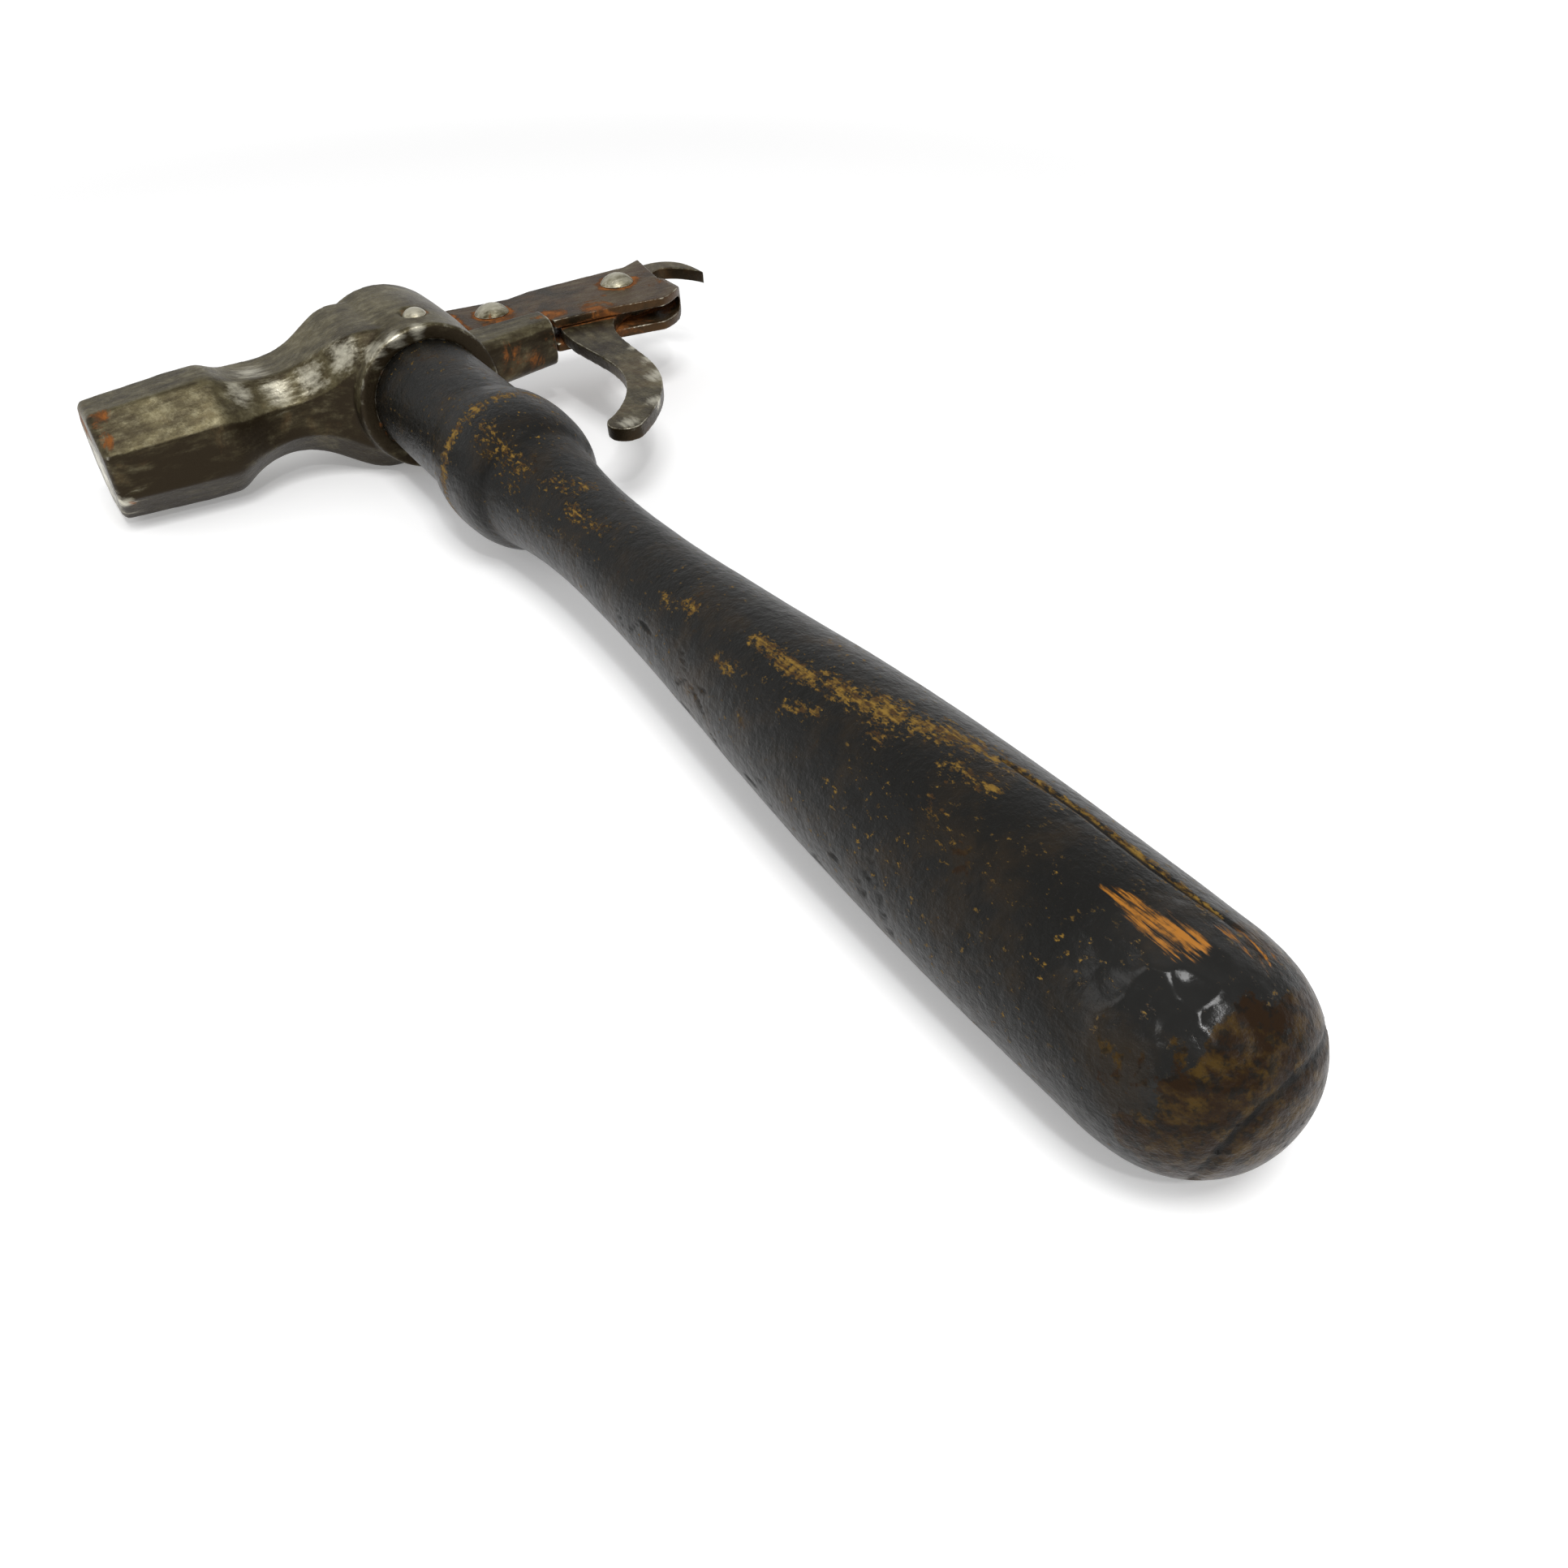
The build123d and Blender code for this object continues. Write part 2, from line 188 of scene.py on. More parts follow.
both = wire(tree, "ShaderNodeAddShader", {0: matt.outputs[0], 1: lift.outputs[0]})
wire(tree, "ShaderNodeOutputMaterial", {"Surface": both.outputs[0]})
sheet_mesh.materials.append(paper)

# %% Lamps and surroundings
ROOM_LIGHT, ROOM_MIRRORED = 0.50, 0.75
# Each lamp's place from the eye and its side in metres, and its power in watts.
LAMPS = (
    ("key_box", (-0.07, -0.44, 0.74), 0.30, 3.6),
    ("side_box", (-0.60, 0.32, 0.45), 0.40, 0.8),
    ("spark_lamp", (-0.14, -0.68, 0.66), 0.045, 1.1),
)

scene = bpy.context.scene
scene.view_settings.view_transform = "Standard"
room = bpy.data.worlds.new("room")
scene.world = room
room.use_nodes = True
tree = room.node_tree
tree.nodes.clear()
paths = wire(tree, "ShaderNodeLightPath")
seen = (paths.outputs["Is Camera Ray"], paths.outputs["Is Transmission Ray"])
looked_at = reckon(tree, "MAXIMUM", *seen)
unseen = wire(tree, "ShaderNodeMix", {
    "Factor": paths.outputs["Is Glossy Ray"], "A": ROOM_LIGHT, "B": ROOM_MIRRORED,
})
strength = wire(tree, "ShaderNodeMix", {"Factor": looked_at, "A": unseen.outputs[0], "B": 1.0})
surround = wire(tree, "ShaderNodeBackground", {"Color": WHITE, "Strength": strength.outputs[0]})
wire(tree, "ShaderNodeOutputWorld", {"Surface": surround.outputs[0]})


def add_lamp(name, place, size, power):
    """A square softbox at a place given from the eye, aimed at the hammer's middle."""
    lamp = bpy.data.lights.new(name, "AREA")
    lamp.size = size
    lamp.energy = power
    holder = bpy.data.objects.new(name, lamp)
    holder.location = eye + Vector(place)
    holder.rotation_euler = (mass_centre - holder.location).to_track_quat("-Z", "Y").to_euler()
    scene.collection.objects.link(holder)


for lamp_settings in LAMPS:
    add_lamp(*lamp_settings)

# %% Camera
# It stands beyond the butt and a little to the left, and looks down along the handle to the head.
# Its three turns are in radians: round the upright, down from level, and about its own view.
CAMERA_FROM_EYE = Vector((-80.15, -284.4, 113.1)) * MM
CAMERA_TURN, CAMERA_DIP, CAMERA_ROLL = 0.518, 0.675, -0.081
CAMERA_LENS, SENSOR = 32.6, 36.0
CLIP_START = 10 * MM

forward = Vector((
    math.sin(CAMERA_TURN) * math.cos(CAMERA_DIP),
    math.cos(CAMERA_TURN) * math.cos(CAMERA_DIP),
    -math.sin(CAMERA_DIP),
))
level = Vector((math.cos(CAMERA_TURN), -math.sin(CAMERA_TURN), 0.0))
upright = level.cross(forward)
right = math.cos(CAMERA_ROLL) * level + math.sin(CAMERA_ROLL) * upright
above = math.cos(CAMERA_ROLL) * upright - math.sin(CAMERA_ROLL) * level
camera_data = bpy.data.cameras.new("camera")
camera_data.lens = CAMERA_LENS
camera_data.sensor_width = SENSOR
camera_data.clip_start = CLIP_START
camera = bpy.data.objects.new("camera", camera_data)
stance = Matrix((right, above, -forward)).transposed().to_4x4()
camera.matrix_world = Matrix.Translation(eye + CAMERA_FROM_EYE) @ stance
scene.collection.objects.link(camera)
scene.camera = camera

# %% [markdown]
# ## Geometry Nodes: a small workbench
#
# Two things on this hammer follow a rule. The handle is a turning, one radius for each place along
# its axis, and every steel surface carries the same low, uneven relief of forging, filing and
# rust. Each rule becomes a node tree with named inputs, and a tree is run once and kept as a mesh.


# %% Build and run a tree
def geometry_tree(name, inputs):
    """A tree with a geometry input and output and these named inputs."""
    tree = bpy.data.node_groups.new(name, "GeometryNodeTree")
    tree.interface.new_socket("Geometry", in_out="INPUT", socket_type="NodeSocketGeometry")
    for label, kind in inputs.items():
        tree.interface.new_socket(label, in_out="INPUT", socket_type=kind)
    tree.interface.new_socket("Geometry", in_out="OUTPUT", socket_type="NodeSocketGeometry")
    return tree, tree.nodes.new("NodeGroupInput")


def end_tree(tree, shape, material):
    """Every tree ends the same way: real geometry, in its material."""
    real = wire(tree, "GeometryNodeRealizeInstances", {"Geometry": shape})
    dressed = wire(tree, "GeometryNodeSetMaterial", {
        "Geometry": real.outputs[0], "Material": material,
    })
    wire(tree, "NodeGroupOutput", {"Geometry": dressed.outputs[0]})


def run_tree(carrier, tree, values):
    """Run a tree on an object and return what it makes as a plain mesh."""
    modifier = carrier.modifiers.new(tree.name, "NODES")
    modifier.node_group = tree
    for item in tree.interface.items_tree:
        if item.item_type == "SOCKET" and item.in_out == "INPUT" and item.name in values:
            modifier[item.identifier] = values[item.name]
    depsgraph = bpy.context.evaluated_depsgraph_get()
    made = bpy.data.meshes.new_from_object(
        carrier.evaluated_get(depsgraph), preserve_all_data_layers=True, depsgraph=depsgraph
    )
    carrier.modifiers.remove(modifier)
    return made


# %% [markdown]
# ## Old steel
#
# The head is drop-forged, then ground along its facets. Handling has left three layers: a
# brown-black patina in the hollows, an olive grey film on the flats, and bare bright metal on the
# ridges. Rust gathers where two pieces meet. How thick the film lies on a facet is also painted
# light and shade, by the way the facet faces. So the finish asks two questions of the shape, how
# proud is this spot and how near is the next piece, and mixes its colours by the answers.

# %% [markdown]
# ### Measuring a surface
#
# Both answers are kept as attributes on the mesh's points. The first, the edge, compares each
# point with the average of its surroundings: a ridge stands above it and a hollow below. The
# second, the seam, fades with the distance to the nearest neighbouring piece. A third is painted
# light and shade by the way a facet faces: facets that face up are painted paler, and facets that
# face the grip darker.


# %% Proud edges and close seams
# Painted light and shade for each facing round the head's axis, as the share of the pale film.
FACET_ANGLES = (0, 22, 28, 62, 68, 112, 118, 158, 165, 200, 240, 300, 340, 360)
FACET_SHADING = (0.06, 0.08, 0.46, 0.44, 0.56, 0.56, 0.60, 0.60, 0.35, 0.35, 0.50, 0.20, 0.08, 0.06)
SEAM_REACH, SEAM_FADE, FAR_AWAY = 4 * MM, 1.2 * MM, 10 * MM


def smoothed(points, edges, rounds):
    """Positions after so many rounds of averaging with their neighbours."""
    ends = np.concatenate([edges[:, 0], edges[:, 1]])
    others = np.concatenate([edges[:, 1], edges[:, 0]])
    count = np.bincount(ends, minlength=len(points))[:, None]
    for _ in range(rounds):
        total = np.stack([np.bincount(ends, points[others, k], len(points)) for k in range(3)], 1)
        points = 0.5 * points + 0.5 * total / count
    return points


def read_rows(items, field, width, kind=float):
    """One row of numbers for each vertex, or for each edge."""
    values = np.empty(len(items) * width, kind)
    items.foreach_get(field, values)
    return values.reshape(-1, width)


def read_points(mesh):
    return read_rows(mesh.vertices, "co", 3)


def read_edges(mesh):
    return read_rows(mesh.edges, "vertices", 2, int)


def read_normals(mesh):
    return read_rows(mesh.vertices, "normal", 3)


def move_points(mesh, points):
    mesh.vertices.foreach_set("co", points.ravel())
    mesh.update()


def shade_smooth(mesh):
    mesh.polygons.foreach_set("use_smooth", [True] * len(mesh.polygons))


def keep(mesh, name, values):
    """Store one number per point under this name."""
    layer = mesh.attributes.get(name) or mesh.attributes.new(name, "FLOAT", "POINT")
    layer.data.foreach_set("value", np.ascontiguousarray(values, dtype=np.float32))


def measure_wear(mesh, node, rounds):
    """Give the mesh its 'edge' and 'seam' attributes, and the painted light and shade of each facing.
    """
    points, edges, normals = read_points(mesh), read_edges(mesh), read_normals(mesh)
    # Round the head's axis, 0 faces the grip and 90 faces up. The facing sets painted light
    # and shade.
    facing = np.degrees(np.arctan2(normals[:, 2], -normals[:, 1])) % 360
    keep(mesh, "facing_shade", np.interp(facing, FACET_ANGLES, FACET_SHADING))
    mean_edge = np.linalg.norm(points[edges[:, 0]] - points[edges[:, 1]], axis=1).mean()
    proud = np.einsum("ij,ij->i", points - smoothed(points, edges, rounds), normals) / mean_edge
    keep(mesh, "edge", np.clip(proud, -1, 1))
    nearest = np.full(len(points), FAR_AWAY)
    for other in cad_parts:
        if other == node:
            continue
        shape = merged_copy(other)
        tree = BVHTree.FromBMesh(shape)
        shape.free()
        found = [tree.find_nearest(p, SEAM_REACH)[3] for p in points]
        away = np.array([FAR_AWAY if distance is None else distance for distance in found])
        nearest = np.minimum(nearest, away)
    keep(mesh, "seam", np.exp(-nearest / SEAM_FADE))


# %% [markdown]
# ### Worn iron, made of nodes
#
# One function makes the finish for every steel piece, because they have aged together. What
# differs is how much of each layer a piece shows, and those are its arguments.


# %% Helpers for finishes
def centred(tree, value, spread):
    """The value, which runs from 0 to 1, as a swing of this size about zero."""
    return reckon(tree, "MULTIPLY_ADD", value, spread, -spread / 2)


def scaled(tree, value, factor):
    return reckon(tree, "MULTIPLY", value, factor)


def weighed(tree, *shares):
    """The sum of values, each given with its weight."""
    total = scaled(tree, *shares[0])
    for share in shares[1:]:
        total = reckon(tree, "ADD", total, scaled(tree, *share))
    return total


def noise(tree, where, scale, detail=6.0, rough=0.55, warp=0.0):
    made = wire(tree, "ShaderNodeTexNoise", {
        "Vector": where, "Scale": scale, "Detail": detail, "Roughness": rough, "Distortion": warp,
    })
    return made.outputs["Fac"]


def window(tree, value, low, high):
    """Rises smoothly from 0 at low to 1 at high."""
    made = wire(tree, "ShaderNodeMapRange", {
        "Value": value, "From Min": low, "From Max": high,
    }, interpolation_type="SMOOTHSTEP")
    return made.outputs[0]


def mix(tree, factor, a, b):
    """Mix two colours, or two numbers."""
    coloured = isinstance(a, tuple) or getattr(a, "type", "") == "RGBA"
    kind, first, result = ("RGBA", 6, 2) if coloured else ("FLOAT", 2, 0)
    made = wire(tree, "ShaderNodeMix", {0: factor, first: a, first + 1: b}, data_type=kind)
    return made.outputs[result]


def attribute(tree, name):
    return wire(tree, "ShaderNodeAttribute", attribute_name=name).outputs["Fac"]


def stretched(tree, where, scale):
    """The same coordinates, drawn out along an axis."""
    return wire(tree, "ShaderNodeMapping", {"Vector": where, "Scale": scale}).outputs[0]


def emboss(tree, shader, height, distance, strength):
    """Let a height map tilt the shader's normal."""
    bump = wire(tree, "ShaderNodeBump", {
        "Height": height, "Distance": distance, "Strength": strength,
    })
    tree.links.new(bump.outputs[0], shader.inputs["Normal"])


def finish(name):
    """A new material's tree, its object coordinates, and its shader."""
    made = bpy.data.materials.new(name)
    made.use_nodes = True
    tree = made.node_tree
    tree.nodes.clear()
    where = wire(tree, "ShaderNodeTexCoord").outputs["Object"]
    shader = wire(tree, "ShaderNodeBsdfPrincipled")
    wire(tree, "ShaderNodeOutputMaterial", {"Surface": shader.outputs[0]})
    return made, tree, where, shader


# %% Worn iron
PATINA = (0.021, 0.014, 0.006, 1)
OLIVE = (0.120, 0.102, 0.052, 1)
GREY = (0.26, 0.235, 0.15, 1)
BARE_STEEL = (0.60, 0.57, 0.46, 1)
BROWN_RUST = (0.062, 0.031, 0.011, 1)
RUST_DARK = (0.090, 0.036, 0.012, 1)
RUST_BRIGHT = (0.27, 0.092, 0.018, 1)
OLD_DIRT = (0.012, 0.010, 0.007, 1)


def worn_iron(name, olive=0.5, bright=0.5, rust=0.3, grind=(0.25, 1, 1)):
    """Patina, an olive layer, bare ridges and rust. The three shares run from 0 to 1.
    The olive layer carries painted light and shade, paler on facets that face up.

    Grinding marks are drawn out along the axis whose number in grind is small.
    """
    made, tree, where, shader = finish(name)
    broad = noise(tree, where, 75, detail=9, rough=0.66, warp=0.5)
    brushed = noise(tree, stretched(tree, where, grind), 620, detail=7, rough=0.68)
    mottle = noise(tree, where, 480, detail=8, rough=0.70)
    grain = noise(tree, where, 2600, detail=4)
    edge, seam, facing_shade = (attribute(tree, mark) for mark in ("edge", "seam", "facing_shade"))

    # The film lies thick on facets facing up, as painted light, and thin on facets facing the grip,
    # as painted shade, broken by the noises.
    film_and_shade = reckon(tree, "MULTIPLY_ADD", broad, 1.6, -0.8 - 0.5 + olive)
    film_and_shade = reckon(tree, "ADD", film_and_shade, centred(tree, brushed, 1.5))
    film_and_shade = window(tree, reckon(tree, "ADD", film_and_shade, facing_shade), 0.0, 1.15)
    browned = window(tree, broad, 0.62 - 0.3 * rust, 0.80 - 0.3 * rust)
    ground = mix(tree, scaled(tree, browned, 0.9), PATINA, BROWN_RUST)
    colour = mix(tree, film_and_shade, ground, OLIVE)
    flecks = reckon(tree, "MULTIPLY", window(tree, mottle, 0.44, 0.68), film_and_shade)
    colour = mix(tree, scaled(tree, flecks, 0.6), colour, GREY)

    # Bare metal shows on proud edges and where the steel was rubbed, both with ragged borders.
    proud = reckon(tree, "ADD", edge, centred(tree, mottle, 0.9))
    bare = window(tree, proud, 0.52 - 0.25 * bright, 1.05 - 0.4 * bright)
    rubbed = reckon(tree, "ADD", attribute(tree, "rub"), centred(tree, brushed, 1.7))
    rubbed = scaled(tree, window(tree, rubbed, 0.32, 1.05), 0.78)
    bare = reckon(tree, "MAXIMUM", bare, rubbed)
    colour = mix(tree, bare, colour, BARE_STEEL)

    # Rust starts in the seams and the stains, and blooms anywhere on a piece that rusts easily.
    bloom = noise(tree, where, 190, detail=9, rough=0.72, warp=1.0)
    corroded = reckon(tree, "MAXIMUM", scaled(tree, seam, 0.36 + 0.2 * rust),
                      scaled(tree, attribute(tree, "stain"), 0.52))
    corroded = reckon(tree, "ADD", corroded, bloom)
    rusted = window(tree, corroded, 0.84 - 0.20 * rust, 1.00 - 0.20 * rust)
    bloomed = window(tree, bloom, 0.80 - 0.24 * rust, 0.92 - 0.24 * rust)
    rusted = reckon(tree, "MAXIMUM", rusted, bloomed)
    rusted = reckon(tree, "MULTIPLY", rusted, reckon(tree, "MULTIPLY_ADD", bare, -0.7, 1.0))
    flame = window(tree, reckon(tree, "MULTIPLY_ADD", corroded, 0.5, mottle), 0.80, 1.12)
    colour = mix(tree, rusted, colour, mix(tree, flame, RUST_DARK, RUST_BRIGHT))

    hollow = window(tree, scaled(tree, edge, -1.0), 0.30, 0.9)
    colour = mix(tree, scaled(tree, hollow, 0.7), colour, OLD_DIRT)
    tree.links.new(colour, shader.inputs["Base Color"])

    metal = mix(tree, bare, mix(tree, rusted, 0.55, 0.05), 0.95)
    tree.links.new(metal, shader.inputs["Metallic"])
    gloss = mix(tree, bare, mix(tree, rusted, 0.44, 0.85), 0.32)
    gloss = reckon(tree, "ADD", gloss, centred(tree, grain, 0.30), clamp=True)
    tree.links.new(gloss, shader.inputs["Roughness"])
    shader.inputs["Specular IOR Level"].default_value = 0.2

    pits = wire(tree, "ShaderNodeTexVoronoi", {"Vector": where, "Scale": 900.0})
    pits = window(tree, pits.outputs["Distance"], 0.10, 0.32)
    height = weighed(tree, (mottle, 1.2), (pits, 0.25), (grain, 0.25), (brushed, 0.5))
    emboss(tree, shader, height, 0.12 * MM, 0.7)
    return made


head_iron = worn_iron("head_iron", olive=0.50, bright=0.38, rust=0.15)
strap_iron = worn_iron("strap_iron", olive=0.14, bright=0.30, rust=0.85)
lever_iron = worn_iron("lever_iron", olive=0.38, bright=0.45, rust=0.50, grind=(1, 0.3, 1))
rivet_steel = worn_iron("rivet_steel", olive=0.9, bright=1.0, rust=0.1)
print("iron finishes:", [m.name for m in (head_iron, strap_iron, lever_iron, rivet_steel)])

# %% [markdown]
# ### Softening the steel
#
# Real arrises are never knife-sharp. Each steel node is remade as one even skin of small squares,
# and a few rounds of averaging ease its corners. A node tree then adds the low relief of the
# hammered and filed surface, as real geometry, so that reflections wander a little.

# %% The relief of worn steel
RELIEF_LEVEL = 0.62     # the lump height that stays where it is; what lies lower sinks

relief_tree, relief_in = geometry_tree("steel_relief", {
    "Relief": "NodeSocketFloat", "Lump Size": "NodeSocketFloat", "Seed": "NodeSocketFloat",
    "Material": "NodeSocketMaterial",
})
spot = wire(relief_tree, "GeometryNodeInputPosition").outputs[0]
fineness = reckon(relief_tree, "DIVIDE", 1.0, relief_in.outputs["Lump Size"])
lumps = wire(relief_tree, "ShaderNodeTexNoise", {
    "Vector": spot, "W": relief_in.outputs["Seed"], "Scale": fineness, "Detail": 3.0,
}, noise_dimensions="4D")
rise = reckon(relief_tree, "SUBTRACT", lumps.outputs["Fac"], RELIEF_LEVEL)
rise = reckon(relief_tree, "MULTIPLY", rise, relief_in.outputs["Relief"])
outward = wire(relief_tree, "GeometryNodeInputNormal").outputs[0]
shift = wire(relief_tree, "ShaderNodeVectorMath", {0: outward, 3: rise}, operation="SCALE")
raised = wire(relief_tree, "GeometryNodeSetPosition", {
    "Geometry": relief_in.outputs["Geometry"], "Offset": shift.outputs[0],
})
end_tree(relief_tree, raised.outputs[0], relief_in.outputs["Material"])


# %% Remake each steel piece
EASE_ROUNDS, WEAR_ROUNDS, BLEND_ROUNDS = 4, 14, 70


def soft_skin(node, grain_size, rounds):
    """The node as one even skin of small squares, its corners eased."""
    shape = merged_copy(node)
    bmesh.ops.transform(shape, matrix=Matrix.Scale(1 / MM, 4), verts=shape.verts)
    raw = bpy.data.meshes.new(node + "_raw")
    shape.to_mesh(raw)
    shape.free()
    carrier = bpy.data.objects.new(node + "_raw", raw)
    scene.collection.objects.link(carrier)
    remesh = carrier.modifiers.new("skin", "REMESH")
    remesh.mode = "VOXEL"
    remesh.voxel_size = grain_size / MM
    depsgraph = bpy.context.evaluated_depsgraph_get()
    skin = bpy.data.meshes.new_from_object(carrier.evaluated_get(depsgraph), depsgraph=depsgraph)
    bpy.data.objects.remove(carrier)
    move_points(skin, smoothed(read_points(skin), read_edges(skin), rounds) * MM)
    return skin


def worn_spots(points, spots):
    """1 in the middle of each spot and 0 at its reach. A spot is x, y, z and reach, in mm."""
    result = np.zeros(len(points))
    for x, y, z, reach in spots:
        away = np.linalg.norm(points - np.array([eye.x + x * MM, y * MM, z * MM]), axis=1)
        result = np.maximum(result, 1 - away / (reach * MM))
    return result


def steel_piece(name, node, body, material, grain_size, relief, lump_size, seed,
                rubs=(), stains=(), blend=None):
    """Remake a steel node, measure its wear, give it relief and put it in the node's place.

    A blend is a place along the head and a reach. The shape is smoothed most there.
    """
    skin = soft_skin(node, grain_size, EASE_ROUNDS)
    points = read_points(skin)
    if blend:
        place, reach = blend
        share = np.exp(-((points[:, 0] - place) / reach) ** 2)[:, None]
        points = points + share * (smoothed(points, read_edges(skin), BLEND_ROUNDS) - points)
        move_points(skin, points)
    measure_wear(skin, node, WEAR_ROUNDS)
    keep(skin, "rub", worn_spots(points, rubs))
    keep(skin, "stain", worn_spots(points, stains))
    carrier = bpy.data.objects.new(name + "_carrier", skin)
    scene.collection.objects.link(carrier)
    made = run_tree(carrier, relief_tree, {
        "Relief": relief, "Lump Size": lump_size, "Seed": seed, "Material": material,
    })
    bpy.data.objects.remove(carrier)
    shade_smooth(made)
    piece = new_piece(name, made, body)
    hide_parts(node)
    print(name, len(made.polygons), "faces")


# Where hands and work have rubbed the steel bright, and where rust has settled: x, y and z from
# the eye, and how far it reaches, in millimetres.
HEAD_RUBS = [
    (-14, -9, 11, 6), (-21, -7, 8, 6), (-27, -6, 7, 6), (-34, -6, 8, 5), (-9, -13, 12, 5),
    (-5, -14.5, 13.5, 4), (0, -14.5, 14, 3), (-62, 1, -2, 15), (-61.5, -9.5, -5, 4),
    (-30, 2, 8, 6),
]
HEAD_STAINS = [
    (-59, -5, 10, 5), (-60, -9, 7, 4), (-61.9, 2, 6, 10), (-60, -10, -6, 4), (14, -6, 13, 4),
    (20, -7, 1, 7), (26, -6, -2, 7), (31.5, -4, 0, 7), (29, -2, 5, 5), (8, -13, -8, 5),
]
STRAP_STAINS = [(24, 6, 1, 7), (34, 2, 1, 7), (44, -1, 1, 7), (60, 3, -2, 8), (52, 0, -3, 8)]
LEVER_RUBS = [
    (42, -22, 1.4, 3), (41.5, -30, 1.4, 4), (39, -38, 1.4, 5), (33, -49, 1.4, 4),
    (24, -54, 1.4, 4),
]
CROWN_RUB = 9.0
NECK_BLEND = (eye.x - 38 * MM, 4.5 * MM)

# The four sizes in each call: the squares of the skin, the relief, its lumps, and the seed.
steel_piece("forged_head", "head", "hammer", head_iron,
            0.36 * MM, 0.30 * MM, 9 * MM, 1.0,
            rubs=HEAD_RUBS, stains=HEAD_STAINS, blend=NECK_BLEND)
steel_piece("folded_strap", "jaw_strap", "hammer", strap_iron,
            0.25 * MM, 0.16 * MM, 6 * MM, 2.0, stains=STRAP_STAINS)
steel_piece("trigger_lever", "jaw_lever", "lever", lever_iron,
            0.22 * MM, 0.12 * MM, 5 * MM, 3.0, rubs=LEVER_RUBS)
for number, node in enumerate(("cheek_pin", "tang_rivet", "pivot_rivet")):
    low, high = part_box(node)
    crown = ((low.x + high.x) / 2 - eye.x, (low.y + high.y) / 2, high.z)
    crown_rub = tuple(value / MM for value in crown) + (CROWN_RUB,)
    steel_piece("worn_" + node, node, "hammer", rivet_steel,
                0.16 * MM, 0.14 * MM, 2 * MM, 4.0 + number, rubs=[crown_rub])

# %% [markdown]
# ## The turned handle
#
# A turner needs only a profile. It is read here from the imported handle, one radius for each place
# along the axis, drawn as a curve, and swung round the axis by a node tree. That gives neat rings
# that run round the wood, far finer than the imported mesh, fine enough to carry cracks and dents.

# %% Read the profile
CAP_LENGTH, CAP_STEPS = 16 * MM, 40
BODY_STEP = 0.5 * MM
CALIPER_ANGLE, CALIPER_START = math.radians(45), 50 * MM
BODY_END, TENON_END = 0.05 * MM, 0.02 * MM     # how far short of the end the last rings stand

shape = merged_copy("handle")
handle_tree = BVHTree.FromBMesh(shape)
shape.free()
caliper = Vector((math.cos(CALIPER_ANGLE), 0, math.sin(CALIPER_ANGLE)))


def radius_at(y):
    """The handle's radius there, felt by a ray that misses the kerf and the pin hole."""
    axis_point = Vector((eye.x, y, 0))
    hit = handle_tree.ray_cast(axis_point + caliper * CALIPER_START, -caliper)[0]
    return (hit - axis_point).length if hit else 0.0


handle_length = handle_high.y - handle_low.y
cap = [CAP_LENGTH * (1 - math.cos(step / CAP_STEPS * math.pi / 2)) for step in range(1, CAP_STEPS)]
body = np.arange(CAP_LENGTH, handle_length - BODY_END, BODY_STEP)
from_butt = np.array(cap + list(body) + [handle_length - TENON_END])
radii = np.array([radius_at(handle_low.y + s) for s in from_butt])
rings = [(radius, handle_low.y + s) for radius, s in zip(radii, from_butt)]
profile = [(0, handle_low.y)] + rings + [(0, handle_high.y)]
print("profile places:", len(profile), "widest", round(2 * radii.max() / MM, 2), "mm")

# %% [markdown]
# ### The lathe
#
# The tree lays a flat grid, one row for each ring. A row's height on the grid says how far along
# the profile it reads its radius, and a column's place says how far round it goes. The two long
# edges meet and are welded, and so are the rows that shrink to a point at each end. Low lumps then
# make the wood a little uneven.

# %% Lathe tree
WELD_DISTANCE = 0.002 * MM

lathe_tree, lathe_in = geometry_tree("lathe", {
    "Columns": "NodeSocketInt", "Rows": "NodeSocketInt", "Axis X": "NodeSocketFloat",
    "Unevenness": "NodeSocketFloat", "Lump Size": "NodeSocketFloat",
    "Material": "NodeSocketMaterial",
})
sheet = wire(lathe_tree, "GeometryNodeMeshGrid", {
    "Size X": 1.0, "Size Y": 1.0,
    "Vertices X": lathe_in.outputs["Columns"], "Vertices Y": lathe_in.outputs["Rows"],
})
grid_place = wire(lathe_tree, "GeometryNodeInputPosition").outputs[0]
flat = wire(lathe_tree, "ShaderNodeSeparateXYZ", {0: grid_place})
turn = reckon(lathe_tree, "MULTIPLY", reckon(lathe_tree, "ADD", flat.outputs["X"], 0.5), math.tau)
reach = reckon(lathe_tree, "ADD", flat.outputs["Y"], 0.5)
read = wire(lathe_tree, "GeometryNodeSampleCurve", {
    "Curves": lathe_in.outputs["Geometry"], "Factor": reach,
}, mode="FACTOR", use_all_curves=True)
drawn = wire(lathe_tree, "ShaderNodeSeparateXYZ", {0: read.outputs["Position"]})
out_x = reckon(lathe_tree, "MULTIPLY", drawn.outputs["X"], reckon(lathe_tree, "COSINE", turn))
out_z = reckon(lathe_tree, "MULTIPLY", drawn.outputs["X"], reckon(lathe_tree, "SINE", turn))
swung = wire(lathe_tree, "ShaderNodeCombineXYZ", {
    "X": reckon(lathe_tree, "ADD", out_x, lathe_in.outputs["Axis X"]),
    "Y": drawn.outputs["Y"], "Z": out_z,
})
turned = wire(lathe_tree, "GeometryNodeSetPosition", {
    "Geometry": sheet.outputs["Mesh"], "Position": swung.outputs[0],
})
welded = wire(lathe_tree, "GeometryNodeMergeByDistance", {
    "Geometry": turned.outputs[0], "Distance": WELD_DISTANCE,
})
